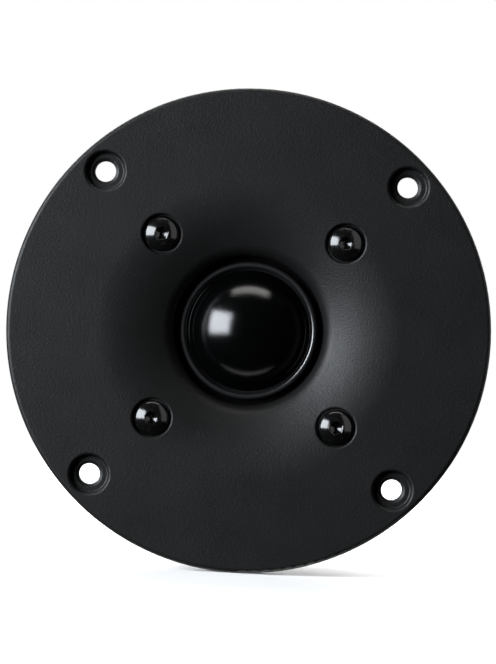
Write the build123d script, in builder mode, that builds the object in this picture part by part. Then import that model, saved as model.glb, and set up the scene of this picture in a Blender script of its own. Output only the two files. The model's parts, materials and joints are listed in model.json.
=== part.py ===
from build123d import *

import os
from math import cos, isclose, radians, sin, sqrt, tan

# Round-flange dome tweeter: 25 mm coated fabric dome, ferrite ring motor, sealed rear chamber.
#
# Frame, in millimetres: the origin is on the dome's axis, in the plane where the flange seats on
# a baffle. The dome faces -Y, +Z is up and +X is to the listener's right. "h" below is the
# height of a plane in front of that seat, so h = -y, and it is negative for everything that
# goes into the baffle's cut-out.

# ---- driving dimensions ----
FLANGE_R = 52.0
FLANGE_H = 4.5
FLANGE_EDGE = 0.9  # rounding of the flange's front rim
BACK_EDGE = 0.3
SPIGOT_R = 36.0  # the round boss behind the flange, which enters the cut-out

MOUTH_R = 32.5  # the flare starts here, tangent to the flat front
THROAT_R = 16.2
FLARE_END_R = 18.4  # where the flare hands over to the tighter throat rounding
FLARE_ANGLE = 24.0  # slope of the flare at FLARE_END_R

MOUNT_CIRCLE_R = 46.0
MOUNT_HOLE_R = 2.25
MOUNT_RECESS_R = 4.15
MOUNT_RECESS_DEPTH = 1.8
MOUNT_LIP = 0.6
MOUNT_CORNER = 0.45  # rounding between a recess's wall and floor
MOUNT_BEVEL = 0.6  # width of the shallow bevel round each bore
MOUNT_BEVEL_DEPTH = 0.3
HOLES = 4
HOLE_START = 45.0

SCREW_CIRCLE_R = 28.0
SCREW_RECESS_R = 4.15
SCREW_SEAT_H = 2.95
SCREW_LIP = 0.4
SCREW_CLEARANCE = 0.15

POCKET_MID_R = 27.5  # shallow pockets in the boss's back, between the screws
POCKET_WIDTH = 7.0
POCKET_HALF_ANGLE = 17
POCKET_ANGLES = (0, 180, 270)

GROOVE_IN_R = 39.8
GROOVE_OUT_R = 43.2
GROOVE_DEPTH = 1.2
GASKET_FIT = 0.1

COIL_BORE_R = 12.7  # one-inch voice coil
FORMER_WALL = 0.1
WIRE_D = 0.2
COIL_LAYERS = 2
COIL_TURNS = 12
FORMER_END = 0.3  # bare former below the winding
DOME_HEIGHT = 7.5
DOME_WALL = 0.22
DOME_BASE_H = -3.0
DOME_SKIRT = 1.1
GLUE_GAP = 0.01
APRON_H = -3.1  # front of the surround's narrow flat apron round the dome
ROLL_MID_R = 14.2  # crest of the surround's half roll
ROLL_R = 0.78  # outer radius of that roll
CLOTH = 0.24
LANDING_WALL = 0.3
LANDING_H = -4.1  # front of the surround's flat edge, clamped under the faceplate
LANDING_R = 20.6

RING_IN_R = 16.6
RING_OUT_R = 21.0
RING_FIT = 0.3
PEG_CIRCLE_R = 18.8  # pegs that locate the ring on the front plate
PEG_R = 1.0
PEG_LENGTH = 2.0
PEG_FIT = 0.05
PEG_ANGLES = (30, 150, 270)
PLATE_H = -6.2  # front of the front pole plate
PLATE_R = 33.0
PLATE_WALL = 5.0
GAP_OUT_R = 13.55
MAGNET_R = 35.0
MAGNET_BORE_R = 16.0
MAGNET_WALL = 15.0
POLE_R = 12.1
POLE_TOP_H = -6.7
VENT_R = 5.0
VENT_CHAMFER = 0.8
POLE_SPIGOT_R = 10.0
COPPER_WALL = 0.3
COPPER_SKIRT = 7.0
DOME_FELT_R = 10.8
DOME_FELT_WALL = 1.2
SURROUND_FELT_WALL = 0.7
VENT_PLUG_LENGTH = 8.0

EAR_WIDTH = 15.0
EAR_END = 39.2  # distance of the terminal ear's end from the axis
EAR_FIT = 0.3
EAR_CORNER = 1.5
CHANNEL_TOP_H = -2.8
RIVET_Z = 34.8
RIVET_R = 0.9
RIVET_BORE_R = 0.45
RIVET_HEAD_R = 1.35
RIVET_HEAD = 0.4
WASHER_R = 1.7
WASHER_WALL = 0.3
TAB_Z = 38.2  # outer face of the connector tabs
TAB_BACK_H = -18.0
TAB_START_Z = 22.6
TAB_HOLE_H = -14.8
POSITIVE = {"x": 3.6, "width": 4.8, "wall": 0.8}
NEGATIVE = {"x": -4.0, "width": 2.8, "wall": 0.5}
SLOT_FIT = 0.02
LEAD_R = 0.1
LEAD_Z = 22.2  # where each lead turns forwards to its terminal
LEAD_H = -5.2  # height of the lead over the felt and in the ring's slot
LEAD_BEND = 0.4
LEAD_SLOT = 0.7
SOLDER_R = 0.8

CHAMBER_GASKET_WALL = 0.8
CHAMBER_FLANGE_WALL = 3.0
CHAMBER_R = 26.0
CHAMBER_WALL = 2.3
CHAMBER_DEPTH = 15.0
CHAMBER_DRAFT = 2.0
CHAMBER_ROUND = 3.0
CHAMBER_FILLET = 0.6
CHAMBER_SCREW_R = 29.5
CHAMBER_THREAD_DEPTH = 4.0
CHAMBER_BEAD_R = 19.0  # shallow ring groove in the chamber's back
CHAMBER_BEAD_WIDTH = 1.4
CHAMBER_BEAD_DEPTH = 0.6
WADDING_R = 22.8
WADDING_ROOM = 0.3

# Metric button-head screws: thread diameter, length, head diameter, head height, hexagon
# across flats and socket depth.
HEAD_RIM = 0.35  # height at which a head's crown meets its side, as a share of the head's height
HEAD_SHOULDER = 0.55  # radius of the rounding between them, as a share of the head's height
SOCKET_BREAK = 0.2  # width of the sloped edge round a socket's mouth
SOCKET_BREAK_ANGLE = 59.0  # its slope, from the screw's axis
M4_SCREW = {"d": 4.0, "length": 12.0, "head_d": 7.6, "head": 2.2, "hex": 2.5, "socket": 1.3}
M3_SCREW = {"d": 3.0, "length": 6.0, "head_d": 5.7, "head": 1.65, "hex": 2.0, "socket": 1.05}
THREAD_FIT = 0.02  # radial room round a thread, which is drawn as a plain cylinder
FACEPLATE_SCREW_TURNS = (0.0, 14.0, 41.0, 23.0)
CHAMBER_SCREW_TURNS = (8.0, 33.0, 19.0, 50.0)

# ---- sizes worked out from them ----
FLARE_R = (MOUTH_R - FLARE_END_R) / sin(radians(FLARE_ANGLE))
FLARE_DEPTH = FLARE_R * (1 - cos(radians(FLARE_ANGLE)))
ROUNDING_R = (FLARE_END_R - THROAT_R) / (1 - sin(radians(FLARE_ANGLE)))
THROAT_H = FLANGE_H - FLARE_DEPTH - ROUNDING_R * cos(radians(FLARE_ANGLE))

FORMER_R = COIL_BORE_R + FORMER_WALL
COIL_R = FORMER_R + COIL_LAYERS * WIRE_D
COIL_LENGTH = COIL_TURNS * WIRE_D
SKIRT_IN_R = FORMER_R + GLUE_GAP
DOME_R = SKIRT_IN_R + DOME_WALL
SPHERE_R = (DOME_R**2 + DOME_HEIGHT**2) / (2 * DOME_HEIGHT)
SPHERE_H = DOME_BASE_H + DOME_HEIGHT - SPHERE_R
RING_H = LANDING_H - LANDING_WALL
MAGNET_H = PLATE_H - PLATE_WALL
BACK_PLATE_H = MAGNET_H - MAGNET_WALL
BACK_PLATE_BACK_H = BACK_PLATE_H - PLATE_WALL
CHAMBER_H = BACK_PLATE_BACK_H - CHAMBER_GASKET_WALL
CHAMBER_BACK_H = CHAMBER_H - CHAMBER_DEPTH
CHAMBER_BORE_R = CHAMBER_R - CHAMBER_WALL
COIL_MID_H = PLATE_H - PLATE_WALL / 2
COIL_TOP_H = COIL_MID_H + COIL_LENGTH / 2
COIL_BOTTOM_H = COIL_TOP_H - COIL_LENGTH

# Radius along local x, height h along local y, for shapes turned about the axis.
PROFILE = Plane(origin=(0, 0, 0), x_dir=(1, 0, 0), z_dir=(0, 0, -1))


def across(h):
    """The plane square to the axis at height h, facing forwards, with local y along +Z."""
    return Plane.XZ.offset(h)


def ring(front_h, wall, outer_r, inner_r=0.0):
    """A flat disc or ring from front_h backwards, added to the part being built."""
    with BuildSketch(across(front_h)) as outline:
        Circle(outer_r)
        if inner_r:
            Circle(inner_r, mode=Mode.SUBTRACT)
    extrude(outline.sketch, amount=-wall)


def circles_at(part, radius, h):
    """The circular edges of one radius whose centres lie at height h."""
    return [
        edge
        for edge in part.edges().filter_by(GeomType.CIRCLE)
        if isclose(edge.radius, radius, abs_tol=1e-4) and isclose(edge.arc_center.Y, -h, abs_tol=1e-4)
    ]


def button_screw(size, seat_h, turn):
    """A button-head hexagon-socket screw on the local axis, its head's underside at seat_h."""
    head_r = size["head_d"] / 2
    rim = HEAD_RIM * size["head"]
    crown = size["head"] - rim
    crown_r = (head_r**2 + crown**2) / (2 * crown)
    point = 0.4
    thread_r = size["d"] / 2
    with BuildPart(mode=Mode.PRIVATE) as screw:
        with BuildSketch(PROFILE):
            with BuildLine():
                top = (0, seat_h + size["head"])
                crown_arc = RadiusArc(top, (head_r, seat_h + rim), crown_r)
                Polyline(
                    crown_arc @ 1,
                    (head_r, seat_h),
                    (thread_r, seat_h),
                    (thread_r, seat_h - size["length"] + point),
                    (thread_r - point, seat_h - size["length"]),
                    (0, seat_h - size["length"]),
                    top,
                )
            make_face()
        revolve(axis=Axis.Y)
        fillet(circles_at(screw, head_r, seat_h + rim), HEAD_SHOULDER * size["head"])
        mouth_h = seat_h + size["head"]
        with BuildSketch(across(mouth_h)):
            RegularPolygon(size["hex"] / 2, 6, major_radius=False, rotation=turn)
        extrude(amount=-size["socket"], mode=Mode.SUBTRACT)
        crown_fall = crown_r - sqrt(crown_r**2 - (size["hex"] / 2 + SOCKET_BREAK) ** 2)
        spread = tan(radians(SOCKET_BREAK_ANGLE))
        with BuildSketch(across(mouth_h)):
            mouth_r = size["hex"] / 2 + SOCKET_BREAK + crown_fall * spread
            RegularPolygon(mouth_r, 6, major_radius=False, rotation=turn)
        break_depth = crown_fall + SOCKET_BREAK / spread
        extrude(amount=-break_depth, taper=SOCKET_BREAK_ANGLE, mode=Mode.SUBTRACT)
        with Locations(across(mouth_h - size["socket"])):
            cone_h = size["hex"] / 4
            with Locations((0, 0, -cone_h / 2)):
                Cone(0, size["hex"] / 2 * 0.98, cone_h, mode=Mode.SUBTRACT)
    return screw.part


# ---- faceplate: cast flange with a short flare round the dome ----
with BuildPart() as faceplate:
    with BuildSketch(PROFILE):
        with BuildLine():
            rounding = CenterArc(
                (THROAT_R + ROUNDING_R, THROAT_H), ROUNDING_R, 180, FLARE_ANGLE - 90
            )
            flare = CenterArc((MOUTH_R, FLANGE_H - FLARE_R), FLARE_R, 90 + FLARE_ANGLE, -FLARE_ANGLE)
            front = Line((MOUTH_R, FLANGE_H), (FLANGE_R - FLANGE_EDGE, FLANGE_H))
            rim = CenterArc(
                (FLANGE_R - FLANGE_EDGE, FLANGE_H - FLANGE_EDGE), FLANGE_EDGE, 90, -90
            )
            Polyline(
                rim @ 1,
                (FLANGE_R, BACK_EDGE),
                (FLANGE_R - BACK_EDGE, 0),
                (SPIGOT_R, 0),
                (SPIGOT_R, PLATE_H),
                (RING_OUT_R + RING_FIT, PLATE_H),
                (RING_OUT_R + RING_FIT, LANDING_H),
                (THROAT_R, LANDING_H),
                rounding @ 0,
            )
        make_face()
    revolve(axis=Axis.Y)

    # counterbored holes for the screws that hold the motor, cut into the flare
    with Locations(across(FLANGE_H)):
        with PolarLocations(SCREW_CIRCLE_R, HOLES, start_angle=HOLE_START):
            screw_hole_r = M4_SCREW["d"] / 2 + SCREW_CLEARANCE
            CounterBoreHole(screw_hole_r, SCREW_RECESS_R, FLANGE_H - SCREW_SEAT_H)
    recess_walls = faceplate.faces().filter_by(
        lambda face: face.geom_type == GeomType.CYLINDER
        and isclose(face.radius, SCREW_RECESS_R, abs_tol=1e-4)
    )
    rims = [wall.edges().filter_by(GeomType.LINE, reverse=True) for wall in recess_walls]
    fillet([edges.sort_by(Axis.Y)[0] for edges in rims], SCREW_LIP)

    # counterbored holes for the baffle screws
    with Locations(across(FLANGE_H)):
        with PolarLocations(MOUNT_CIRCLE_R, HOLES, start_angle=HOLE_START):
            CounterBoreHole(MOUNT_HOLE_R, MOUNT_RECESS_R, MOUNT_RECESS_DEPTH)
    mount_floor_h = FLANGE_H - MOUNT_RECESS_DEPTH
    fillet(circles_at(faceplate, MOUNT_RECESS_R, FLANGE_H), MOUNT_LIP)
    fillet(circles_at(faceplate, MOUNT_RECESS_R, mount_floor_h), MOUNT_CORNER)
    for floor in faceplate.faces().filter_by_position(Axis.Y, -mount_floor_h, -mount_floor_h):
        bore_edge = floor.edges().sort_by(SortBy.LENGTH)[0]
        chamfer(bore_edge, MOUNT_BEVEL, MOUNT_BEVEL_DEPTH, reference=floor)

    # groove for the foam gasket
    with BuildSketch(across(0)):
        Circle(GROOVE_OUT_R)
        Circle(GROOVE_IN_R, mode=Mode.SUBTRACT)
    extrude(amount=GROOVE_DEPTH, mode=Mode.SUBTRACT)

    # channel for the terminal ear, and weight-saving pockets between the screws
    with BuildSketch(across(PLATE_H)):
        Rectangle(EAR_WIDTH + 2 * EAR_FIT, SPIGOT_R, align=(Align.CENTER, Align.MIN))
        Circle(RING_OUT_R, mode=Mode.SUBTRACT)
        for angle in POCKET_ANGLES:
            middle = CenterArc((0, 0), POCKET_MID_R, -POCKET_HALF_ANGLE, 2 * POCKET_HALF_ANGLE)
            SlotArc(middle, POCKET_WIDTH, rotation=angle)
    extrude(amount=CHANNEL_TOP_H - PLATE_H, mode=Mode.SUBTRACT)
faceplate.part.label = "faceplate"

# ---- foam gasket, drawn at its squeezed height, level with the seat ----
with BuildPart() as mounting_gasket:
    ring(GROOVE_DEPTH, GROOVE_DEPTH, GROOVE_OUT_R - GASKET_FIT, GROOVE_IN_R + GASKET_FIT)
mounting_gasket.part.label = "mounting_gasket"

# ---- four screws that hold the faceplate to the front pole plate ----
with BuildPart() as faceplate_screws:
    for place, turn in zip(
        PolarLocations(SCREW_CIRCLE_R, HOLES, start_angle=HOLE_START, rotate=False).locations,
        FACEPLATE_SCREW_TURNS,
    ):
        x, z = place.position.X, place.position.Y
        add(button_screw(M4_SCREW, SCREW_SEAT_H, turn).moved(Location((x, 0, z))))
faceplate_screws.part.label = "faceplate_screws"

# ---- dome: thin spherical cap with a skirt glued round the coil former ----
with BuildPart() as dome:
    inner_sphere_r = SPHERE_R - DOME_WALL
    with BuildSketch(PROFILE):
        with BuildLine():
            outside = RadiusArc(
                (0, DOME_BASE_H + DOME_HEIGHT), (DOME_R, DOME_BASE_H), SPHERE_R
            )
            inner_edge_h = SPHERE_H + sqrt(inner_sphere_r**2 - SKIRT_IN_R**2)
            Polyline(
                outside @ 1,
                (DOME_R, DOME_BASE_H - DOME_SKIRT),
                (SKIRT_IN_R, DOME_BASE_H - DOME_SKIRT),
                (SKIRT_IN_R, inner_edge_h),
            )
            inside = RadiusArc(
                (SKIRT_IN_R, inner_edge_h), (0, SPHERE_H + inner_sphere_r), -inner_sphere_r
            )
            Line(inside @ 1, outside @ 0)
        make_face()
    revolve(axis=Axis.Y)
dome.part.label = "dome"

# ---- surround: narrow half roll between the dome's skirt and the clamped landing ----
with BuildPart() as surround:
    collar_r = DOME_R + GLUE_GAP
    roll_in_r = ROLL_R - CLOTH
    apron_back_h = APRON_H - CLOTH
    collar_h = DOME_BASE_H - DOME_SKIRT
    with BuildSketch(PROFILE):
        with BuildLine():
            outer_roll = CenterArc((ROLL_MID_R, APRON_H), ROLL_R, 180, -180)
            Polyline(
                outer_roll @ 1,
                (ROLL_MID_R + ROLL_R, LANDING_H),
                (LANDING_R, LANDING_H),
                (LANDING_R, RING_H),
                (ROLL_MID_R + roll_in_r, RING_H),
                (ROLL_MID_R + roll_in_r, APRON_H),
            )
            inner_roll = CenterArc((ROLL_MID_R, APRON_H), roll_in_r, 0, 180)
            Polyline(
                inner_roll @ 1,
                (ROLL_MID_R - roll_in_r, apron_back_h),
                (collar_r + CLOTH, apron_back_h),
                (collar_r + CLOTH, collar_h),
                (collar_r, collar_h),
                (collar_r, APRON_H),
                outer_roll @ 0,
            )
        make_face()
    revolve(axis=Axis.Y)
surround.part.label = "surround"

# ---- voice coil former and its winding, one bulge per turn of wire ----
with BuildPart() as voice_coil_former:
    former_top_h = DOME_BASE_H - DOME_WALL
    ring(former_top_h, former_top_h - COIL_BOTTOM_H + FORMER_END, FORMER_R, COIL_BORE_R)
voice_coil_former.part.label = "voice_coil_former"

with BuildPart() as voice_coil:
    bulge_r = COIL_R - WIRE_D / 2
    with BuildSketch(PROFILE):
        with BuildLine():
            for turn in range(COIL_TURNS):
                h = COIL_TOP_H - turn * WIRE_D
                ThreePointArc((bulge_r, h), (COIL_R, h - WIRE_D / 2), (bulge_r, h - WIRE_D))
            Polyline(
                (bulge_r, COIL_BOTTOM_H),
                (FORMER_R, COIL_BOTTOM_H),
                (FORMER_R, COIL_TOP_H),
                (bulge_r, COIL_TOP_H),
            )
        make_face()
    revolve(axis=Axis.Y)
voice_coil.part.label = "voice_coil"

# ---- carrier ring: holds the surround's landing, and carries the terminals on an ear ----
with BuildPart() as carrier_ring:
    with BuildSketch(across(RING_H)):
        Circle(RING_OUT_R)
        Rectangle(EAR_WIDTH, EAR_END, align=(Align.CENTER, Align.MIN))
        Circle(RING_IN_R, mode=Mode.SUBTRACT)
        for terminal in (POSITIVE, NEGATIVE):
            with Locations((terminal["x"], TAB_Z - terminal["wall"] / 2)):
                tab_room = 2 * SLOT_FIT
                Rectangle(
                    terminal["width"] + tab_room, terminal["wall"] + tab_room, mode=Mode.SUBTRACT
                )
            with Locations((terminal["x"], RIVET_Z)):
                Circle(RIVET_R + SLOT_FIT, mode=Mode.SUBTRACT)
    extrude(amount=PLATE_H - RING_H)
    fillet(carrier_ring.edges().filter_by(Axis.Y).group_by(Axis.Z)[-1], EAR_CORNER)
    with BuildSketch(across(RING_H)):
        slot_end_z = LEAD_Z + LEAD_SLOT / 2
        for terminal in (POSITIVE, NEGATIVE):
            with Locations((terminal["x"], slot_end_z)):
                Rectangle(LEAD_SLOT, slot_end_z / 2, align=(Align.CENTER, Align.MAX))
    extrude(amount=LEAD_H - LEAD_SLOT / 2 - RING_H, mode=Mode.SUBTRACT)
    with BuildSketch(across(PLATE_H)):
        for angle in PEG_ANGLES:
            with PolarLocations(PEG_CIRCLE_R, 1, start_angle=angle):
                Circle(PEG_R)
    extrude(amount=-PEG_LENGTH)
carrier_ring.part.label = "carrier_ring"


def terminal_tab(size):
    """A blade terminal: a strip along the ear, bent back through it into a push-on tab."""
    x, width, wall = size["x"], size["width"], size["wall"]
    front_h = RING_H + wall
    hole_place = Plane(origin=(x, -TAB_HOLE_H, TAB_Z), x_dir=(1, 0, 0), z_dir=(0, 0, 1))
    with BuildPart(mode=Mode.PRIVATE) as tab:
        with BuildSketch(Plane(origin=(x - width / 2, 0, 0), x_dir=(0, 0, 1), z_dir=(1, 0, 0))):
            with BuildLine():
                Polyline(
                    (TAB_START_Z, RING_H),
                    (TAB_START_Z, front_h),
                    (TAB_Z, front_h),
                    (TAB_Z, TAB_BACK_H),
                    (TAB_Z - wall, TAB_BACK_H),
                    (TAB_Z - wall, RING_H),
                    close=True,
                )
            make_face()
        extrude(amount=width)
        bend = tab.edges().filter_by(Axis.X).sort_by(lambda e: e.center().Z - e.center().Y)
        fillet(bend[-1], 0.6 * wall)
        chamfer(tab.edges().filter_by(Axis.Z).group_by(Axis.Y)[-1], 0.2 * width)
        with Locations(hole_place):
            Hole(0.16 * width, depth=2 * wall)
        with Locations(across(front_h)):
            with Locations((x, RIVET_Z)):
                Hole(RIVET_R + SLOT_FIT, depth=2 * wall)
    return tab.part


# ---- connector tabs ----
with BuildPart() as terminal_positive:
    add(terminal_tab(POSITIVE))
terminal_positive.part.label = "terminal_positive"

with BuildPart() as terminal_negative:
    add(terminal_tab(NEGATIVE))
terminal_negative.part.label = "terminal_negative"

# ---- red washer that marks the positive terminal, behind the ear ----
with BuildPart() as polarity_washer:
    with BuildSketch(across(PLATE_H)):
        with Locations((POSITIVE["x"], RIVET_Z)):
            Circle(WASHER_R)
            Circle(RIVET_R + SLOT_FIT, mode=Mode.SUBTRACT)
    extrude(amount=-WASHER_WALL)
polarity_washer.part.label = "polarity_washer"

# ---- tubular rivets through tabs and ear ----
with BuildPart() as terminal_rivets:
    for terminal, washer in ((POSITIVE, WASHER_WALL), (NEGATIVE, 0.0)):
        front_h = RING_H + terminal["wall"]
        back_h = PLATE_H - washer
        spot = (terminal["x"], RIVET_Z)
        for start_h, length, radius in (
            (front_h + RIVET_HEAD, RIVET_HEAD, RIVET_HEAD_R),
            (front_h, front_h - back_h, RIVET_R),
            (back_h, RIVET_HEAD, RIVET_HEAD_R),
        ):
            with BuildSketch(across(start_h)):
                with Locations(spot):
                    Circle(radius)
            extrude(amount=-length)
        with BuildSketch(across(front_h + RIVET_HEAD)):
            with Locations(spot):
                Circle(RIVET_BORE_R)
        extrude(amount=-(front_h - back_h + 2 * RIVET_HEAD), mode=Mode.SUBTRACT)
    for back_h in (PLATE_H, PLATE_H - WASHER_WALL):
        fillet(circles_at(terminal_rivets, RIVET_HEAD_R, back_h - RIVET_HEAD), RIVET_HEAD / 2)
terminal_rivets.part.label = "terminal_rivets"

# ---- flexible leads from the coil ----
SIDE = Plane(origin=(0, 0, 0), x_dir=(0, 0, 1), z_dir=(1, 0, 0))


def lead(x):
    """One lead, in the plane x: up the former, over the felt and along the ring's slot."""
    start_z = sqrt((FORMER_R + LEAD_R + GLUE_GAP) ** 2 - x**2)
    with BuildPart(mode=Mode.PRIVATE) as wire:
        with BuildLine(SIDE) as path:
            FilletPolyline(
                (start_z, COIL_TOP_H + LEAD_R),
                (start_z, LEAD_H),
                (LEAD_Z, LEAD_H),
                (LEAD_Z, RING_H + SOLDER_R),
                radius=LEAD_BEND,
            )
        with BuildSketch(Plane(path.line @ 0, z_dir=path.line % 0)):
            Circle(LEAD_R)
        sweep(path=path.line)
    return wire.part.moved(Location((x, 0, 0)))


with BuildPart() as lead_wires:
    for terminal in (POSITIVE, NEGATIVE):
        add(lead(terminal["x"]))
lead_wires.part.label = "lead_wires"

# ---- solder joints over the inner ends of the tabs ----
with BuildPart() as solder_joints:
    for terminal in (POSITIVE, NEGATIVE):
        with Locations((terminal["x"], -RING_H - SOLDER_R / 2, TAB_START_Z)):
            Sphere(SOLDER_R)
    split(bisect_by=across(RING_H), keep=Keep.TOP)
    for piece in (terminal_positive, terminal_negative, lead_wires):
        add(piece.part, mode=Mode.SUBTRACT)
solder_joints.part.label = "solder_joints"

# ---- motor: front plate, ring magnet, back plate and vented pole ----
with BuildPart() as front_plate:
    ring(PLATE_H, PLATE_WALL, PLATE_R, GAP_OUT_R)
    chamfer(circles_at(front_plate, PLATE_R, PLATE_H - PLATE_WALL), 0.5)
    with Locations(across(PLATE_H)):
        with PolarLocations(SCREW_CIRCLE_R, HOLES, start_angle=HOLE_START):
            Hole(M4_SCREW["d"] / 2 + THREAD_FIT)
        for angle in PEG_ANGLES:
            with PolarLocations(PEG_CIRCLE_R, 1, start_angle=angle):
                Hole(PEG_R + PEG_FIT, depth=PEG_LENGTH + PEG_FIT)
front_plate.part.label = "front_plate"

with BuildPart() as magnet:
    ring(MAGNET_H, MAGNET_WALL, MAGNET_R, MAGNET_BORE_R)
    for h in (MAGNET_H, BACK_PLATE_H):
        chamfer(circles_at(magnet, MAGNET_R, h), 0.8)
        chamfer(circles_at(magnet, MAGNET_BORE_R, h), 0.5)
magnet.part.label = "magnet"

with BuildPart() as back_plate:
    ring(BACK_PLATE_H, PLATE_WALL, PLATE_R, POLE_SPIGOT_R)
    chamfer(circles_at(back_plate, PLATE_R, BACK_PLATE_BACK_H), 0.6)
    with Locations(across(BACK_PLATE_BACK_H).rotated((180, 0, 0))):
        with PolarLocations(CHAMBER_SCREW_R, HOLES, start_angle=HOLE_START):
            Hole(M3_SCREW["d"] / 2 + THREAD_FIT, depth=CHAMBER_THREAD_DEPTH)
back_plate.part.label = "back_plate"

with BuildPart() as pole_piece:
    ring(POLE_TOP_H, POLE_TOP_H - BACK_PLATE_H, POLE_R, VENT_R)
    ring(BACK_PLATE_H, PLATE_WALL, POLE_SPIGOT_R, VENT_R)
    chamfer(circles_at(pole_piece, VENT_R, POLE_TOP_H), VENT_CHAMFER)
pole_piece.part.label = "pole_piece"

# ---- copper cap that lines the inner side of the gap ----
with BuildPart() as copper_cap:
    ring(POLE_TOP_H + COPPER_WALL, COPPER_WALL, POLE_R + COPPER_WALL, VENT_R + VENT_CHAMFER)
    ring(POLE_TOP_H, COPPER_SKIRT, POLE_R + COPPER_WALL, POLE_R)
    fillet(circles_at(copper_cap, POLE_R + COPPER_WALL, POLE_TOP_H + COPPER_WALL), 0.2)
copper_cap.part.label = "copper_cap"

# ---- felt and foam that damp the air behind the dome ----
with BuildPart() as dome_felt:
    felt_h = POLE_TOP_H + COPPER_WALL + DOME_FELT_WALL
    ring(felt_h, DOME_FELT_WALL, DOME_FELT_R, VENT_R + VENT_CHAMFER)
dome_felt.part.label = "dome_felt"

with BuildPart() as surround_felt:
    felt_h = PLATE_H + SURROUND_FELT_WALL
    ring(felt_h, SURROUND_FELT_WALL, RING_IN_R - RING_FIT, GAP_OUT_R + RING_FIT)
surround_felt.part.label = "surround_felt"

with BuildPart() as vent_plug:
    ring(BACK_PLATE_BACK_H + VENT_PLUG_LENGTH, VENT_PLUG_LENGTH, VENT_R - SLOT_FIT)
vent_plug.part.label = "vent_plug"

# ---- sealed rear chamber ----
with BuildPart() as chamber_gasket:
    ring(BACK_PLATE_BACK_H, CHAMBER_GASKET_WALL, PLATE_R - CHAMBER_FILLET, CHAMBER_BORE_R)
    with Locations(across(BACK_PLATE_BACK_H)):
        with PolarLocations(CHAMBER_SCREW_R, HOLES, start_angle=HOLE_START):
            Hole(M3_SCREW["d"] / 2 + SCREW_CLEARANCE)
chamber_gasket.part.label = "chamber_gasket"

with BuildPart() as rear_chamber:
    flange_back_h = CHAMBER_H - CHAMBER_FLANGE_WALL
    ring(CHAMBER_H, CHAMBER_FLANGE_WALL, PLATE_R)
    with BuildSketch(across(flange_back_h)):
        Circle(CHAMBER_R)
    extrude(amount=CHAMBER_BACK_H - flange_back_h, taper=CHAMBER_DRAFT)
    fillet(rear_chamber.edges().filter_by(GeomType.CIRCLE).group_by(Axis.Y)[-1], CHAMBER_ROUND)
    for radius in (PLATE_R, CHAMBER_R):
        fillet(circles_at(rear_chamber, radius, flange_back_h), CHAMBER_FILLET)
    with BuildSketch(across(CHAMBER_H)):
        Circle(CHAMBER_BORE_R)
    extrude(amount=CHAMBER_WALL - CHAMBER_DEPTH, taper=CHAMBER_DRAFT, mode=Mode.SUBTRACT)
    with BuildSketch(across(CHAMBER_BACK_H)):
        Circle(CHAMBER_BEAD_R)
        Circle(CHAMBER_BEAD_R - CHAMBER_BEAD_WIDTH, mode=Mode.SUBTRACT)
    extrude(amount=CHAMBER_BEAD_DEPTH, mode=Mode.SUBTRACT)
    with Locations(across(CHAMBER_H)):
        with PolarLocations(CHAMBER_SCREW_R, HOLES, start_angle=HOLE_START):
            Hole(M3_SCREW["d"] / 2 + SCREW_CLEARANCE)
rear_chamber.part.label = "rear_chamber"

with BuildPart() as chamber_wadding:
    wadding_length = CHAMBER_DEPTH - CHAMBER_WALL - 2 * WADDING_ROOM
    ring(CHAMBER_H - WADDING_ROOM, wadding_length, WADDING_R)
    fillet(chamber_wadding.edges().filter_by(GeomType.CIRCLE), CHAMBER_ROUND / 2)
chamber_wadding.part.label = "chamber_wadding"

with BuildPart() as chamber_screws:
    for place, turn in zip(
        PolarLocations(CHAMBER_SCREW_R, HOLES, start_angle=HOLE_START, rotate=False).locations,
        CHAMBER_SCREW_TURNS,
    ):
        x, z = place.position.X, place.position.Y
        facing_back = Location((x, 0, z), (180, 0, 0))
        add(button_screw(M3_SCREW, CHAMBER_FLANGE_WALL - CHAMBER_H, turn).moved(facing_back))
chamber_screws.part.label = "chamber_screws"

os.makedirs("parts", exist_ok=True)
for piece in (
    faceplate,
    mounting_gasket,
    faceplate_screws,
    dome,
    surround,
    voice_coil_former,
    voice_coil,
    carrier_ring,
    terminal_positive,
    terminal_negative,
    polarity_washer,
    terminal_rivets,
    lead_wires,
    solder_joints,
    front_plate,
    magnet,
    back_plate,
    pole_piece,
    copper_cap,
    dome_felt,
    surround_felt,
    vent_plug,
    chamber_gasket,
    rear_chamber,
    chamber_wadding,
    chamber_screws,
):
    export_step(piece.part, f"parts/{piece.part.label}.step")
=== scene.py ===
import json
import math

import bmesh
import bpy
import numpy as np
from mathutils import Matrix, Vector, noise


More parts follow.
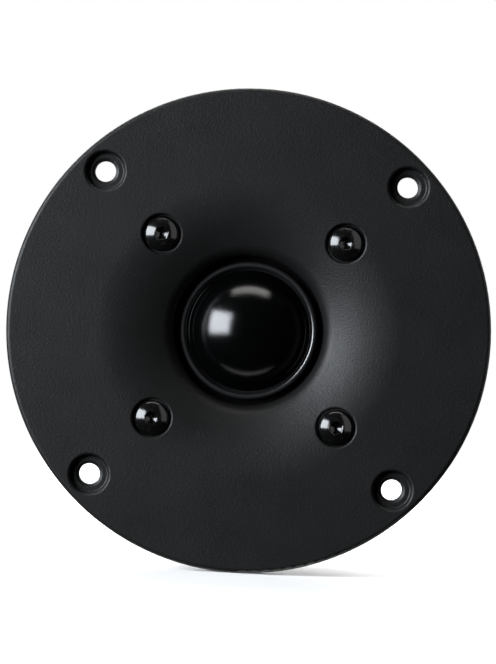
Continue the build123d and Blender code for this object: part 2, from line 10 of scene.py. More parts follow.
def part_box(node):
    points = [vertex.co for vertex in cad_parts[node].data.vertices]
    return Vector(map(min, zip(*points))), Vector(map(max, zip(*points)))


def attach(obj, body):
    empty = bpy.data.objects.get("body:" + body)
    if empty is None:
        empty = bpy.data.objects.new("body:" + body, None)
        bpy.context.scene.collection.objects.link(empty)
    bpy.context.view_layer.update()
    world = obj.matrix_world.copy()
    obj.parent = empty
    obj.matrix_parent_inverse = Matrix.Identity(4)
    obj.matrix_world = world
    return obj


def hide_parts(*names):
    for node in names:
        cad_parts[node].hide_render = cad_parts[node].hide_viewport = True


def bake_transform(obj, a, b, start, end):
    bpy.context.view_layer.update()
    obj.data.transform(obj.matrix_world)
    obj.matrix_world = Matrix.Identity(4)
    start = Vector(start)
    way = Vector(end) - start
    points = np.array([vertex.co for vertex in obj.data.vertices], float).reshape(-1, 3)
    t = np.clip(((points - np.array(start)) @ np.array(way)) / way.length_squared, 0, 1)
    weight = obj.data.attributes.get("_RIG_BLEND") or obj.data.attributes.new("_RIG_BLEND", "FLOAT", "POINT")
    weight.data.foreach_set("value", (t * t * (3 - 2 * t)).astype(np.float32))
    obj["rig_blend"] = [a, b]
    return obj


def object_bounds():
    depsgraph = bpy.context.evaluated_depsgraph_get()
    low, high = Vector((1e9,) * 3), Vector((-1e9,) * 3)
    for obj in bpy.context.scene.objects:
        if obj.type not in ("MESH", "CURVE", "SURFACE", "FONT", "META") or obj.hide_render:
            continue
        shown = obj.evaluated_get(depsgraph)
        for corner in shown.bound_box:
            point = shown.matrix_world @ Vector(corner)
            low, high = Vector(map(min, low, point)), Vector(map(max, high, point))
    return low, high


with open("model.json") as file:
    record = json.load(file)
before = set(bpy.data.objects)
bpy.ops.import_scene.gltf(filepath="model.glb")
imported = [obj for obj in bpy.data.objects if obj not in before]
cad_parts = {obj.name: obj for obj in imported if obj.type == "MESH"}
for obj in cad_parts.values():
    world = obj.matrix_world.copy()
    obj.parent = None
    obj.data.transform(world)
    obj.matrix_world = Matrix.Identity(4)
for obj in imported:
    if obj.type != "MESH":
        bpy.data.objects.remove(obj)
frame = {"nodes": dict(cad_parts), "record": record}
cad_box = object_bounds()

# The tweeter faces -Y with +Z up. Lengths here are metres, and MM turns millimetres into them.
MM = 0.001
SEGMENTS = 256  # round the axis, for the dome and its surround


# ---- mesh tools ----
def add_mesh(name, points, faces, smooth=True):
    """A new mesh object, linked to the scene."""
    mesh = bpy.data.meshes.new(name)
    mesh.from_pydata([tuple(p) for p in points], [], faces)
    mesh.update()
    piece = bpy.data.objects.new(name, mesh)
    bpy.context.scene.collection.objects.link(piece)
    if smooth:
        mesh.polygons.foreach_set("use_smooth", [True] * len(mesh.polygons))
    return piece


def turned(name, outline, segments=SEGMENTS):
    """A closed outline of (radius, y) points turned about the Y axis. Points on the axis become
    one vertex, and an outline that ends on the axis at both ends isn't joined along it."""
    on_axis = [r < 1e-7 for r, _ in outline]
    rows = []
    points = []
    for (r, y), pole in zip(outline, on_axis):
        rows.append(len(points))
        steps = 1 if pole else segments
        for i in range(steps):
            a = 2 * math.pi * i / segments
            points.append((r * math.cos(a), y, r * math.sin(a)))

    def vertex(row, i):
        return rows[row] + (0 if on_axis[row] else i % segments)

    faces = []
    for row in range(len(outline)):
        after = (row + 1) % len(outline)
        if on_axis[row] and on_axis[after]:
            continue
        for i in range(segments):
            ring = [vertex(row, i), vertex(row, i + 1), vertex(after, i + 1), vertex(after, i)]
            faces.append(list(dict.fromkeys(ring)))
    return add_mesh(name, points, faces)


def arc(centre, radius, start, end, steps):
    """Points (radius, y) on a circle in the turning plane. Angles are degrees from the radial
    direction, and 90 is towards the listener."""
    out = []
    for i in range(steps + 1):
        a = math.radians(start + (end - start) * i / steps)
        out.append((centre[0] + radius * math.cos(a), centre[1] - radius * math.sin(a)))
    return out


def roughen(piece, depth, size, seed):
    """Moves each vertex along its normal by smooth noise, up to depth."""
    offset = Vector((seed * 7.3, seed * 3.1, seed * 5.7))
    mesh = piece.data
    normals = [v.normal.copy() for v in mesh.vertices]
    for v, normal in zip(mesh.vertices, normals):
        v.co += normal * depth * noise.noise(v.co / size + offset)
    mesh.update()


def node_radii(node):
    """Smallest and largest distance of a CAD node's mesh from the axis."""
    co = np.array([v.co for v in frame["nodes"][node].data.vertices], float).reshape(-1, 3)
    r = np.hypot(co[:, 0], co[:, 2])
    return r.min(), r.max()


def recalculate_normals(piece):
    """Points every face outwards."""
    bm = bmesh.new()
    bm.from_mesh(piece.data)
    bmesh.ops.recalc_face_normals(bm, faces=bm.faces)
    bm.to_mesh(piece.data)
    bm.free()


# ---- materials ----
class Finish:
    """A node material built on one Principled shader, with coordinates in millimetres."""

    def __init__(self, name, **inputs):
        """inputs are fixed values of the shader's sockets, with _ for a space. What a recipe below
        links to a node, such as its colour, isn't given here."""
        self.material = bpy.data.materials.new(name)
        self.material.use_nodes = True
        self.nodes = self.material.node_tree.nodes
        self.links = self.material.node_tree.links
        self.shader = self.nodes["Principled BSDF"]
        for key, value in inputs.items():
            self.shader.inputs[key.replace("_", " ")].default_value = value
        coords = self.nodes.new("ShaderNodeTexCoord")
        scale = self.nodes.new("ShaderNodeVectorMath")
        scale.operation = "SCALE"
        scale.inputs["Scale"].default_value = 1 / MM
        self.links.new(coords.outputs["Object"], scale.inputs[0])
        self.place = scale.outputs[0]
        self.normal = None

    def feed(self, socket, value):
        """Sets an input from a number, a tuple or another node's output."""
        if isinstance(value, bpy.types.NodeSocket):
            self.links.new(value, socket)
        else:
            socket.default_value = value

    def noise(self, size, detail=3.0, rough=0.55, place=None):
        """Noise from 0 to 1 whose lumps are about size millimetres across."""
        tex = self.nodes.new("ShaderNodeTexNoise")
        self.feed(tex.inputs["Vector"], place or self.place)
        tex.inputs["Scale"].default_value = 1 / size
        tex.inputs["Detail"].default_value = detail
        tex.inputs["Roughness"].default_value = rough
        return tex.outputs["Fac"]

    def cells(self, size):
        """Distance inside cells about size millimetres across."""
        tex = self.nodes.new("ShaderNodeTexVoronoi")
        self.links.new(self.place, tex.inputs["Vector"])
        tex.inputs["Scale"].default_value = 1 / size
        return tex.outputs["Distance"]

    def math(self, operation, a, b=0.0):
        """Arithmetic on one or two numbers or outputs."""
        node = self.nodes.new("ShaderNodeMath")
        node.operation = operation
        for socket, value in zip(node.inputs, (a, b)):
            self.feed(socket, value)
        return node.outputs[0]

    def span(self, value, low, high, to_low=0.0, to_high=1.0):
        """Maps low..high to to_low..to_high, clamped."""
        node = self.nodes.new("ShaderNodeMapRange")
        for key, v in zip(
            ("Value", "From Min", "From Max", "To Min", "To Max"),
            (value, low, high, to_low, to_high),
        ):
            self.feed(node.inputs[key], v)
        return node.outputs["Result"]

    def weighted(self, a, b, share):
        """A share of a, and the rest of b."""
        return self.math("ADD", self.math("MULTIPLY", a, share), self.math("MULTIPLY", b, 1 - share))

    def axes(self):
        """The X, Y and Z of the place, in millimetres."""
        node = self.nodes.new("ShaderNodeSeparateXYZ")
        self.links.new(self.place, node.inputs[0])
        return node.outputs

    def length(self, a, b):
        """Length of a vector with two components."""
        squares = self.math("ADD", self.math("MULTIPLY", a, a), self.math("MULTIPLY", b, b))
        return self.math("SQRT", squares)

    def reach(self):
        """Distance from the tweeter's axis, in millimetres."""
        x, _, z = self.axes()
        return self.length(x, z)

    def stretched(self, factors):
        """Coordinates scaled by each of three factors, for grain that runs one way."""
        node = self.nodes.new("ShaderNodeVectorMath")
        node.operation = "MULTIPLY"
        self.links.new(self.place, node.inputs[0])
        node.inputs[1].default_value = factors
        return node.outputs[0]

    def polar(self, radial, along, around):
        """Radius, y and angle as a vector, each scaled, for marks left by turning."""
        x, y, z = self.axes()
        angle = self.math("ARCTAN2", z, x)
        node = self.nodes.new("ShaderNodeCombineXYZ")
        for socket, part, factor in zip(node.inputs, (self.reach(), y, angle), (radial, along, around)):
            self.links.new(self.math("MULTIPLY", part, factor), socket)
        return node.outputs[0]

    def weave(self, pitch):
        """Height of a plain weave lying in the XZ plane, threads pitch millimetres apart."""
        x, _, z = self.axes()
        wobble = self.math("MULTIPLY", self.noise(2.5), 0.5)
        turns = math.pi / pitch
        warp = self.math("SINE", self.math("MULTIPLY", self.math("ADD", x, wobble), turns))
        weft = self.math("SINE", self.math("MULTIPLY", self.math("ADD", z, wobble), turns))
        return self.span(self.math("MULTIPLY", warp, weft), -1.0, 1.0)

    def colour(self, fac, dark, light):
        """Base colour between two colours."""
        mix = self.nodes.new("ShaderNodeMix")
        mix.data_type = "RGBA"
        self.links.new(fac, mix.inputs["Factor"])
        mix.inputs["A"].default_value = (*dark, 1)
        mix.inputs["B"].default_value = (*light, 1)
        self.links.new(mix.outputs["Result"], self.shader.inputs["Base Color"])

    def roughness(self, fac, low, high):
        """Roughness between two values."""
        self.links.new(self.span(fac, 0.0, 1.0, low, high), self.shader.inputs["Roughness"])

    def fade_out(self, near, far):
        """Turns transparent between two distances from the origin in plan, in millimetres."""
        x, y, _ = self.axes()
        clear = self.nodes.new("ShaderNodeBsdfTransparent")
        mix = self.nodes.new("ShaderNodeMixShader")
        self.links.new(self.span(self.length(x, y), near, far), mix.inputs[0])
        self.links.new(self.shader.outputs[0], mix.inputs[1])
        self.links.new(clear.outputs[0], mix.inputs[2])
        self.links.new(mix.outputs[0], self.nodes["Material Output"].inputs[0])

    def round_edges(self, radius):
        """Softens sharp edges in the shading, as a cut or moulded edge is."""
        node = self.nodes.new("ShaderNodeBevel")
        node.inputs["Radius"].default_value = radius * MM
        self.normal = node.outputs[0]
        self.links.new(self.normal, self.shader.inputs["Normal"])

    def bump(self, height, depth):
        """Adds relief: height 0 to 1 stands for depth millimetres."""
        node = self.nodes.new("ShaderNodeBump")
        node.inputs["Strength"].default_value = 1.0
        node.inputs["Distance"].default_value = depth * MM
        self.links.new(height, node.inputs["Height"])
        if self.normal:
            self.links.new(self.normal, node.inputs["Normal"])
        self.normal = node.outputs[0]
        self.links.new(self.normal, self.shader.inputs["Normal"])


def textured_black():
    """Cast metal under a fine, slightly sparkling powder coat."""
    f = Finish("textured_black", Specular_IOR_Level=0.21)
    grain = f.noise(0.42, detail=4.0, rough=0.6)
    fine = f.noise(0.2, detail=2.0)
    patches = f.noise(9.0, detail=3.0)
    specks = f.span(f.noise(0.3, detail=1.0), 0.66, 0.74)
    f.colour(f.weighted(patches, specks, 0.5), (0.0031, 0.0031, 0.003), (0.0084, 0.0084, 0.0081))
    f.roughness(f.weighted(grain, patches, 0.6), 0.36, 0.54)
    f.round_edges(0.12)
    f.bump(grain, 0.07)
    f.bump(fine, 0.025)
    return f.material


def black_steel():
    """Polished steel screws under a bright black plating."""
    f = Finish("black_steel", Specular_IOR_Level=0.36)
    wear = f.noise(0.9, detail=5.0)
    f.colour(f.span(wear, 0.55, 0.8), (0.002, 0.002, 0.002), (0.01, 0.0095, 0.009))
    f.roughness(wear, 0.1, 0.2)
    f.round_edges(0.08)
    f.bump(f.noise(0.35, detail=4.0), 0.0025)
    return f.material


def coated_fabric():
    """Fine woven cloth pressed to a dome, under a glossy damping coat. The coat thins out between
    10 and 11.5 mm from the axis."""
    f = Finish("coated_fabric")
    weave = f.weave(0.3)
    coat = f.noise(3.2, detail=3.0)
    f.colour(coat, (0.0003, 0.0004, 0.0004), (0.0007, 0.0008, 0.0008))
    f.roughness(coat, 0.12, 0.17)
    gloss = f.span(f.reach(), 10.0, 11.5, 0.33, 0.11)
    f.links.new(gloss, f.shader.inputs["Specular IOR Level"])
    f.bump(f.noise(0.32, detail=2.0), 0.016)
    f.bump(weave, 0.006)
    f.bump(coat, 0.012)
    return f.material


def surround_fabric():
    """The same cloth: glossy on the roll's inner side, where the dome's coat ends, and matt outside.
    Distances are from the axis, and the roll's crest is at 14.2 mm."""
    f = Finish("surround_fabric")
    weave = f.weave(0.22)
    reach = f.reach()
    coat_edge = f.math("ADD", reach, f.math("MULTIPLY", f.noise(0.9), 0.3))
    bare = f.span(coat_edge, 14.15, 14.45)
    f.roughness(bare, 0.22, 0.6)
    # Painted shade: the roll's outer foot and the landing are darkened and their gloss dimmed.
    painted_edge_shade = f.span(reach, 14.7, 15.1, 1.0, 0.0)
    gloss = f.math("MULTIPLY", f.span(bare, 0.0, 1.0, 0.8, 0.15), painted_edge_shade)
    gloss = f.math("MULTIPLY", gloss, f.span(reach, 13.3, 13.6, 0.3, 1.0))
    f.links.new(gloss, f.shader.inputs["Specular IOR Level"])
    threads = f.span(weave, 0.0, 1.0, 0.7, 1.0)
    # Painted shade: the colour falls to 0.35 of its tint beyond 14.7 mm from the axis.
    painted_shade_tint = f.span(painted_edge_shade, 0.0, 1.0, 0.35, 1.0)
    f.colour(f.math("MULTIPLY", threads, painted_shade_tint), (0.0005, 0.0005, 0.0006), (0.006, 0.006, 0.0062))
    f.bump(weave, 0.006)
    f.bump(f.noise(0.14, detail=2.0), 0.006)
    return f.material


def foam():
    """Closed-cell foam, with cells cut open at its skin."""
    f = Finish("foam", Roughness=0.9)
    cells = f.cells(0.34)
    f.colour(cells, (0.018, 0.018, 0.019), (0.05, 0.05, 0.052))
    f.bump(f.span(cells, 0.1, 0.6), 0.12)
    f.bump(f.noise(0.12), 0.03)
    return f.material


def aluminium():
    """Rolled foil, with fine lines round it."""
    f = Finish("aluminium", Base_Color=(0.72, 0.72, 0.74, 1), Metallic=1.0)
    lines = f.noise(0.12, place=f.polar(0.4, 3.0, 0.4))
    f.roughness(lines, 0.22, 0.42)
    f.bump(lines, 0.004)
    return f.material


def copper():
    """Bare copper with a little tarnish."""
    f = Finish("copper", Metallic=1.0)
    stain = f.noise(1.6, detail=4.0)
    f.colour(stain, (0.5, 0.2, 0.1), (0.8, 0.42, 0.26))
    f.roughness(stain, 0.18, 0.4)
    f.bump(f.noise(0.2), 0.004)
    return f.material


def black_plastic():
    """Moulded plastic with a fine eroded-tool grain."""
    f = Finish("black_plastic")
    grain = f.noise(0.24, detail=3.0)
    flow = f.noise(14.0, detail=2.0)
    f.colour(flow, (0.014, 0.014, 0.016), (0.024, 0.024, 0.027))
    f.roughness(f.weighted(grain, flow, 0.5), 0.36, 0.56)
    f.round_edges(0.25)
    f.bump(grain, 0.018)
    return f.material


def tinned_brass():
    """Stamped strip: dull tin with rolling lines along it."""
    f = Finish("tinned_brass", Metallic=1.0)
    lines = f.noise(0.25, detail=4.0, place=f.stretched((6.0, 0.25, 6.0)))
    stain = f.noise(2.2, detail=4.0)
    f.colour(stain, (0.55, 0.53, 0.49), (0.78, 0.76, 0.71))
    f.roughness(f.weighted(lines, stain, 0.5), 0.2, 0.45)
    f.round_edges(0.06)
    f.bump(lines, 0.006)
    return f.material


def red_fibre():
    """Pressed fibre board, dyed through."""
    f = Finish("red_fibre", Roughness=0.6)
    fibre = f.noise(0.2, detail=5.0)
    f.colour(fibre, (0.3, 0.012, 0.01), (0.5, 0.04, 0.03))
    f.bump(fibre, 0.02)
    return f.material


def rivet_brass():
    """Drawn brass with handling stains."""
    f = Finish("rivet_brass", Metallic=1.0)
    stain = f.noise(0.7, detail=4.0)
    f.colour(stain, (0.5, 0.34, 0.13), (0.75, 0.58, 0.3))
    f.roughness(stain, 0.2, 0.45)
    f.bump(f.noise(0.15), 0.006)
    return f.material


def solder():
    """Set solder, frosted where it cooled slowly."""
    f = Finish("solder", Metallic=1.0)
    frost = f.noise(0.25, detail=4.0)
    f.colour(frost, (0.48, 0.48, 0.5), (0.68, 0.68, 0.7))
    f.roughness(frost, 0.15, 0.4)
    f.bump(frost, 0.02)
    return f.material


def plated_steel():
    """Turned mild steel with bright zinc plating."""
    f = Finish("plated_steel", Metallic=1.0)
    turning = f.noise(0.3, detail=3.0, place=f.polar(1.0, 3.0, 0.15))
    bloom = f.noise(5.0, detail=5.0)
    f.colour(bloom, (0.36, 0.37, 0.39), (0.58, 0.585, 0.6))
    f.roughness(f.weighted(turning, bloom, 0.4), 0.2, 0.46)
    f.round_edges(0.2)
    f.bump(turning, 0.01)
    return f.material


def ferrite():
    """Sintered ferrite: matt sides with pits, faces ground a little smoother."""
    f = Finish("ferrite")
    body = f.noise(1.1, detail=6.0, rough=0.65)
    pits = f.span(f.noise(0.45, detail=2.0), 0.3, 0.38)
    f.colour(body, (0.024, 0.024, 0.027), (0.055, 0.054, 0.056))
    f.roughness(body, 0.45, 0.75)
    f.round_edges(0.3)
    f.bump(pits, 0.05)
    f.bump(body, 0.03)
    return f.material


def felt():
    """Dense wool felt."""
    f = Finish("felt", Roughness=0.95, Sheen_Weight=0.4)
    fibre = f.noise(0.22, detail=6.0, rough=0.7)
    f.colour(fibre, (0.025, 0.025, 0.026), (0.09, 0.09, 0.092))
    f.bump(fibre, 0.12)
    return f.material


def wadding():
    """Loose off-white fibre filling."""
    f = Finish("wadding", Roughness=0.95, Sheen_Weight=0.3)
    fibre = f.noise(0.5, detail=7.0, rough=0.75)
    f.colour(fibre, (0.5, 0.49, 0.46), (0.85, 0.84, 0.81))
    f.bump(fibre, 0.5)
    return f.material


RECIPES = (
    textured_black, black_steel, foam, coated_fabric,
    surround_fabric, aluminium, copper, black_plastic,
    tinned_brass, red_fibre, rivet_brass, solder,
    plated_steel, ferrite, felt, wadding,
)
FINISHES = {recipe.__name__: recipe() for recipe in RECIPES}


def dress(piece, slot_name):
    """Gives a new piece the material of the named slot."""
    piece.data.materials.append(FINISHES[slot_name])


for entry in frame["record"]["subparts"]:
    for material_slot in frame["nodes"][entry["node"]].material_slots:
        material_slot.material = FINISHES[entry["material_slot"]]


# ---- dome and surround ----
CLOTH = 0.22 * MM
ROLL_MID_R = 14.2 * MM
ROLL_R = 0.78 * MM
ROLL_CREASE = 0.1 * MM  # how far short of the roll the apron ends
ROLL_FOOT = 0.25 * MM  # radius of the bend from the roll to the landing
SKIRT = 1.1 * MM
GLUE_GAP = 0.01 * MM
LANDING = 0.3 * MM  # thickness of the flat edge, in front of the ring that holds it
FOOT_LIP = 0.12 * MM
FOOT_FILLET = 0.08 * MM

dome_low, dome_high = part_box("dome")
surround_low, surround_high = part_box("surround")
dome_r = dome_high.x
apex_y = dome_low.y
foot_y = dome_high.y - SKIRT
landing_back_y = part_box("carrier_ring")[0].y


def make_dome():
    """A thin pressed shell: cap, a small bead of glue at its foot, and a skirt on the former."""
    height = foot_y - apex_y
    cap_r = dome_r - FOOT_LIP
    sphere_r = (cap_r**2 + height**2) / (2 * height)
    centre_y = apex_y + sphere_r
    # The hollow fillet at the foot touches the cap's sphere and the flat lip.
    fillet_y = foot_y - FOOT_FILLET
    fillet_r = math.sqrt((sphere_r + FOOT_FILLET) ** 2 - (centre_y - fillet_y) ** 2)
    foot_angle = math.degrees(math.asin((centre_y - fillet_y) / (sphere_r + FOOT_FILLET)))
    outside = arc((0, centre_y), sphere_r, 90, foot_angle, 96)
    foot = arc((fillet_r, fillet_y), FOOT_FILLET, 180 + foot_angle, 270, 10)
    skirt = [(dome_r, foot_y), (dome_r, dome_high.y), (dome_r - CLOTH, dome_high.y)]
    inner_r = sphere_r - CLOTH
    inner_angle = math.degrees(math.acos((dome_r - CLOTH) / inner_r))
    inside = arc((0, centre_y), inner_r, inner_angle, 90, 48)
    outside[0] = (0, apex_y)
    inside[-1] = (0, apex_y + CLOTH)
    piece = turned("dome_cap", outside + foot[1:] + skirt + inside)
    recalculate_normals(piece)
    dress(piece, "coated_fabric")
    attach(piece, "diaphragm")
    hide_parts("dome")


def make_surround():
    """An apron and collar on the dome's skirt, a half roll, and a flat edge under the faceplate."""
    collar_r = dome_r + GLUE_GAP
    apron_y = surround_low.y + ROLL_R
    landing_y = landing_back_y - LANDING
    edge_r = surround_high.x
    inner = ROLL_R - CLOTH
    first = ROLL_MID_R + ROLL_R + ROLL_FOOT
    outside = [(collar_r, apron_y), (ROLL_MID_R - ROLL_R - ROLL_CREASE, apron_y)]
    outside += arc((ROLL_MID_R, apron_y), ROLL_R, 172, 0, 40)
    outside += arc((first, landing_y - ROLL_FOOT), ROLL_FOOT, 180, 270, 8)
    steps = 8
    flat = [(first + (edge_r - first) * i / steps, landing_y) for i in range(1, steps + 1)]
    flat += [(edge_r, landing_back_y), (ROLL_MID_R + inner, landing_back_y)]
    inside = arc((ROLL_MID_R, apron_y), inner, 0, 180, 32)
    collar = [
        (ROLL_MID_R - inner, apron_y + CLOTH),
        (collar_r + CLOTH, apron_y + CLOTH),
        (collar_r + CLOTH, dome_high.y),
        (collar_r, dome_high.y),
    ]
    piece = turned("surround_roll", outside + flat + inside + collar)
    recalculate_normals(piece)
    dress(piece, "surround_fabric")
    fixed_r = ROLL_MID_R + ROLL_R
    moving_r = ROLL_MID_R - ROLL_R
    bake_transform(piece, "root", "diaphragm", start=(0, 0, fixed_r), end=(0, 0, moving_r))
    # The turning is round the axis, so the share of each point goes by its radius.
    co = np.array([v.co for v in piece.data.vertices], float)
    radius = np.hypot(co[:, 0], co[:, 2])
    t = np.clip((fixed_r - radius) / (fixed_r - moving_r), 0, 1)
    weights = piece.data.attributes["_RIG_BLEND"]
    weights.data.foreach_set("value", (t * t * (3 - 2 * t)).astype(np.float32))
    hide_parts("surround")


make_dome()
make_surround()


# ---- soft rings, plug and wadding ----
SOFT_SEGMENTS = 192
DISC_STEPS = 24
SIDE_PITCH = 0.6 * MM  # about how far apart the points are along a side
FACE_PITCH = 0.8 * MM  # and across a face
ROUNDING_LIMIT = 2.2  # a piece is at least this many edge roundings thick


def soft_turned(node, slot_name, rounding, lump, lump_size, seed, bore):
    """A soft ring or disc in the place of its CAD solid, with rounded edges and an uneven skin."""
    low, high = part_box(node)
    inner, outer = node_radii(node)
    r = min(rounding, (high.y - low.y) / ROUNDING_LIMIT)
    disc = [outer * i / DISC_STEPS for i in range(1, DISC_STEPS)]
    disc = [x for x in disc if x < outer - r]
    outline = [] if bore else [(0, low.y)] + [(x, low.y) for x in disc]
    outline += arc((outer - r, low.y + r), r, 90, 0, 5)
    span = high.y - low.y - 2 * r
    rows = max(1, int(span / SIDE_PITCH))
    outline += [(outer, low.y + r + span * i / rows) for i in range(1, rows)]
    outline += arc((outer - r, high.y - r), r, 0, -90, 5)
    if bore:
        rows = max(2, int((outer - inner) / FACE_PITCH))
        back = [(outer - r - (outer - inner - 2 * r) * i / rows, high.y) for i in range(1, rows)]
        outline += back
        outline += arc((inner + r, high.y - r), r, 270, 180, 5)
        outline += arc((inner + r, low.y + r), r, 180, 90, 5)
        outline += [(x, low.y) for x, _ in reversed(back)]
    else:
        outline += [(x, high.y) for x in reversed(disc)] + [(0, high.y)]
    piece = turned("soft_" + node, outline, SOFT_SEGMENTS)
    recalculate_normals(piece)
    roughen(piece, lump, lump_size, seed)
    dress(piece, slot_name)
    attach(piece, "root")
    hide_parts(node)


# Each soft piece's node and finish, the rounding of its edges and the height and width of its
# lumps in millimetres, and whether it has a bore.
SOFT_PIECES = (
    ("mounting_gasket", "foam", 0.35, 0.08, 2.0, True),
    ("chamber_gasket", "foam", 0.2, 0.04, 2.0, True),
    ("dome_felt", "felt", 0.3, 0.1, 1.2, True),
    ("surround_felt", "felt", 0.2, 0.06, 1.0, True),
    ("vent_plug", "foam", 0.3, 0.06, 1.0, False),
    ("chamber_wadding", "wadding", 2.0, 0.5, 5.0, False),
)
for seed, (node, finish, rounding, lump, lump_size, bore) in enumerate(SOFT_PIECES, 1):
    soft_turned(node, finish, rounding * MM, lump * MM, lump_size * MM, seed, bore)


# ---- flexible leads ----
LEAD_R = 0.1 * MM
LEAD_LIFT = 1.0 * MM  # height of a lead over the front plate
LEAD_CLEARANCE = 0.01 * MM  # between a lead and the former
FORMER_BEND = 0.5 * MM  # size of the bend where a lead leaves the former
TERMINAL_BEND = 0.4 * MM  # size of the bend where it turns back to its terminal
FIXED_INSET = 4.6 * MM  # how far inside the carrier ring's rim a lead stops moving
FREE_REACH = 0.6 * MM  # how far from the former it moves fully
PATH_STEP = 0.1 * MM
STRANDS = 3
STRAND_SIDES = 8
STRAND_R = 0.046 * MM
TWIST_R = 0.05 * MM
TWIST_PITCH = 0.8 * MM
former_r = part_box("voice_coil_former")[1].x


def lead_path(x):
    """Centre line of one lead: forwards along the former, out over the felt, then to its terminal."""
    low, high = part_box("lead_wires")
    start_z = math.sqrt((former_r + LEAD_R) ** 2 - x**2) + LEAD_CLEARANCE
    end_z = high.z - LEAD_R
    level_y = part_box("front_plate")[0].y - LEAD_LIFT
    return [
        Vector((x, high.y, start_z)),
        Vector((x, level_y + FORMER_BEND, start_z)),
        Vector((x, level_y, start_z + FORMER_BEND)),
        Vector((x, level_y, end_z - TERMINAL_BEND)),
        Vector((x, level_y - TERMINAL_BEND, end_z)),
        Vector((x, low.y, end_z)),
    ]


def divided(path):
    """The same path, with points about a step apart."""
    dense = []
    for a, b in zip(path, path[1:]):
        steps = max(2, int((b - a).length / PATH_STEP))
        dense += [a.lerp(b, i / steps) for i in range(steps)]
    return dense + [path[-1]]


def strand_points(path, phase):
    """Rings of points round one strand, which twists about the path from a phase of 0 to 1."""
    side = Vector((1, 0, 0))
    travelled = 0.0
    points = []
    for i, p in enumerate(path):
        if i:
            travelled += (p - path[i - 1]).length
        ahead = path[min(i + 1, len(path) - 1)]
        behind = path[max(i - 1, 0)]
        up = (ahead - behind).normalized().cross(side).normalized()
        turn = 2 * math.pi * (travelled / TWIST_PITCH + phase)
        centre = p + TWIST_R * (side * math.cos(turn) + up * math.sin(turn))
        for k in range(STRAND_SIDES):
            a = 2 * math.pi * k / STRAND_SIDES
            points.append(centre + STRAND_R * (side * math.cos(a) + up * math.sin(a)))
    return points


def tube_faces(first, rings, sides):
    """Faces of a capped tube, whose rings of points are numbered from first."""
    faces = []
    for i in range(rings - 1):
        q = first + i * sides
        for k in range(sides):
            n = (k + 1) % sides
            faces.append((q + k, q + n, q + sides + n, q + sides + k))
    last = first + (rings - 1) * sides
    faces.append(tuple(first + k for k in range(sides)))
    faces.append(tuple(last + k for k in reversed(range(sides))))
    return faces


def make_leads():
    """Each lead is three strands twisted together along its path."""
    low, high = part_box("lead_wires")
    points = []
    faces = []
    for x in (low.x + LEAD_R, high.x - LEAD_R):
        path = divided(lead_path(x))
        for strand in range(STRANDS):
            faces += tube_faces(len(points), len(path), STRAND_SIDES)
            points += strand_points(path, strand / STRANDS)
    piece = add_mesh("twisted_leads", points, faces)
    recalculate_normals(piece)
    dress(piece, "copper")
    fixed_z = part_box("carrier_ring")[1].x - FIXED_INSET
    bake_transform(piece, "root", "diaphragm", start=(0, 0, fixed_z), end=(0, 0, former_r + FREE_REACH))
    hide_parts("lead_wires")


make_leads()


# ---- floor, light and camera ----
def area_light(name, azimuth, elevation, distance, size, power, colour=(1, 1, 1)):
    """A softbox aimed at the dome, in degrees, metres and watts. Azimuth 0 is in front of the
    tweeter, and negative is to the listener's left."""
    a, e = math.radians(azimuth), math.radians(elevation)
    away = Vector((math.sin(a) * math.cos(e), -math.cos(a) * math.cos(e), math.sin(e)))
    data = bpy.data.lights.new(name, "AREA")
    data.shape = "RECTANGLE"
    data.size, data.size_y = size
    data.energy = power
    data.color = colour
    light = bpy.data.objects.new(name, data)
    light.location = away * distance
    light.rotation_euler = away.to_track_quat("Z", "Y").to_euler()
    light.visible_camera = False
    bpy.context.scene.collection.objects.link(light)
    return light


def light_only(light, *names):
    """Limits a light to the named pieces, as a flag or a snoot would."""
    receivers = bpy.data.collections.new(light.name + "_receivers")
    for name in names:
        receivers.objects.link(bpy.data.objects[name])
    light.light_linking.receiver_collection = receivers


area_light("key_softbox", -52, 10.5, distance=0.75, size=(0.5, 0.44), power=17.5, colour=(0.9, 0.95, 1.02))
area_light("top_strip", -1.5, 75.2, distance=0.75, size=(0.7, 0.22), power=2.8, colour=(1.0, 0.99, 0.95))
right_panel = area_light("right_panel", 54, 20, distance=0.6, size=(0.3, 0.8), power=1.0)
light_only(right_panel, "faceplate_screws")
low_card = area_light("low_card", 0, -81, distance=0.5, size=(0.7, 0.07), power=0.36)
light_only(low_card, "dome_cap", "surround_roll")
# These two stand behind the faceplate's plane, so only its edge and the motor catch them.
area_light("side_right", 98, 4, distance=0.8, size=(0.3, 0.7), power=2.6)
area_light("side_low", 180, -74, distance=0.6, size=(0.7, 0.3), power=2.6)
area_light("back_left", -160, 35, distance=0.9, size=(0.6, 0.6), power=8)
area_light("back_right", 155, 25, distance=0.9, size=(0.5, 0.7), power=5)
area_light("back_top", 180, 60, distance=0.8, size=(0.7, 0.4), power=4)

FLOOR_HALF = 6.0
floor_z = cad_box[0].z
corners = ((-1, -1), (1, -1), (1, 1), (-1, 1))
floor_points = [(x * FLOOR_HALF, y * FLOOR_HALF, floor_z) for x, y in corners]
floor = add_mesh("floor", floor_points, [(0, 1, 2, 3)], smooth=False)
floor_finish = Finish("floor", Roughness=0.8)
floor_finish.colour(floor_finish.noise(60.0), (0.88, 0.88, 0.88), (0.92, 0.92, 0.92))
floor_finish.fade_out(near=350, far=600)
floor.data.materials.append(floor_finish.material)
# The floor takes the shadow, but the object doesn't mirror it or get light from it.
floor.visible_glossy = False
floor.visible_diffuse = False


ROOM_STRENGTH = 0.015
BACKDROP_STRENGTH = 0.3
BACKDROP_START = 0.2  # y of a direction at which the room starts to turn into the backdrop
BACKDROP_FULL = 0.7  # y of a direction from which it is all backdrop


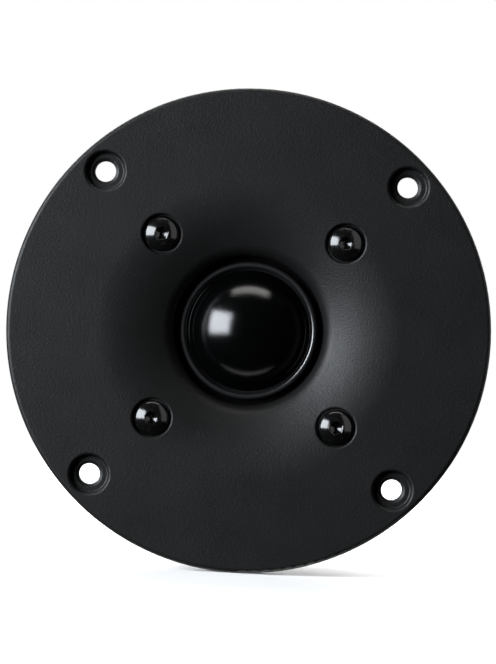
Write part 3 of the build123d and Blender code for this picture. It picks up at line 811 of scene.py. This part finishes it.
def studio_world():
    """White all round as the camera sees it. The object itself sees a dim room in front of it and
    a pale backdrop behind it."""
    world = bpy.data.worlds.new("studio")
    world.use_nodes = True
    nodes = world.node_tree.nodes
    links = world.node_tree.links
    nodes.clear()
    path = nodes.new("ShaderNodeLightPath")
    seen = nodes.new("ShaderNodeBackground")
    seen.inputs["Color"].default_value = (1, 1, 1, 1)
    room = nodes.new("ShaderNodeBackground")
    room.inputs["Color"].default_value = (0.96, 0.98, 0.98, 1)
    direction = nodes.new("ShaderNodeTexCoord")
    axes = nodes.new("ShaderNodeSeparateXYZ")
    backdrop = nodes.new("ShaderNodeMapRange")
    backdrop.inputs["From Min"].default_value = BACKDROP_START
    backdrop.inputs["From Max"].default_value = BACKDROP_FULL
    backdrop.inputs["To Min"].default_value = ROOM_STRENGTH
    backdrop.inputs["To Max"].default_value = BACKDROP_STRENGTH
    links.new(direction.outputs["Generated"], axes.inputs[0])
    links.new(axes.outputs["Y"], backdrop.inputs["Value"])
    links.new(backdrop.outputs["Result"], room.inputs["Strength"])
    mix = nodes.new("ShaderNodeMixShader")
    out = nodes.new("ShaderNodeOutputWorld")
    links.new(path.outputs["Is Camera Ray"], mix.inputs[0])
    links.new(room.outputs[0], mix.inputs[1])
    links.new(seen.outputs[0], mix.inputs[2])
    links.new(mix.outputs[0], out.inputs[0])
    bpy.context.scene.world = world


studio_world()
bpy.context.scene.view_settings.view_transform = "Standard"

CAMERA_DISTANCE = 0.6
LENS = 150.8
ROLL = -3.1  # degrees: the object leans clockwise in the picture
AIM_X = -0.13 * MM  # the camera looks a little beside the tweeter's axis
AIM_Z = -0.29 * MM  # and a little below it

camera_data = bpy.data.cameras.new("camera")
camera_data.lens = LENS
camera_data.sensor_width = 36
camera_data.clip_start = 0.01
camera_data.clip_end = 50
camera = bpy.data.objects.new("camera", camera_data)
camera.matrix_world = (
    Matrix.Translation((AIM_X, -CAMERA_DISTANCE, AIM_Z))
    @ Matrix.Rotation(math.radians(ROLL), 4, "Y")
    @ Matrix.Rotation(math.radians(90), 4, "X")
)
bpy.context.scene.collection.objects.link(camera)
bpy.context.scene.camera = camera
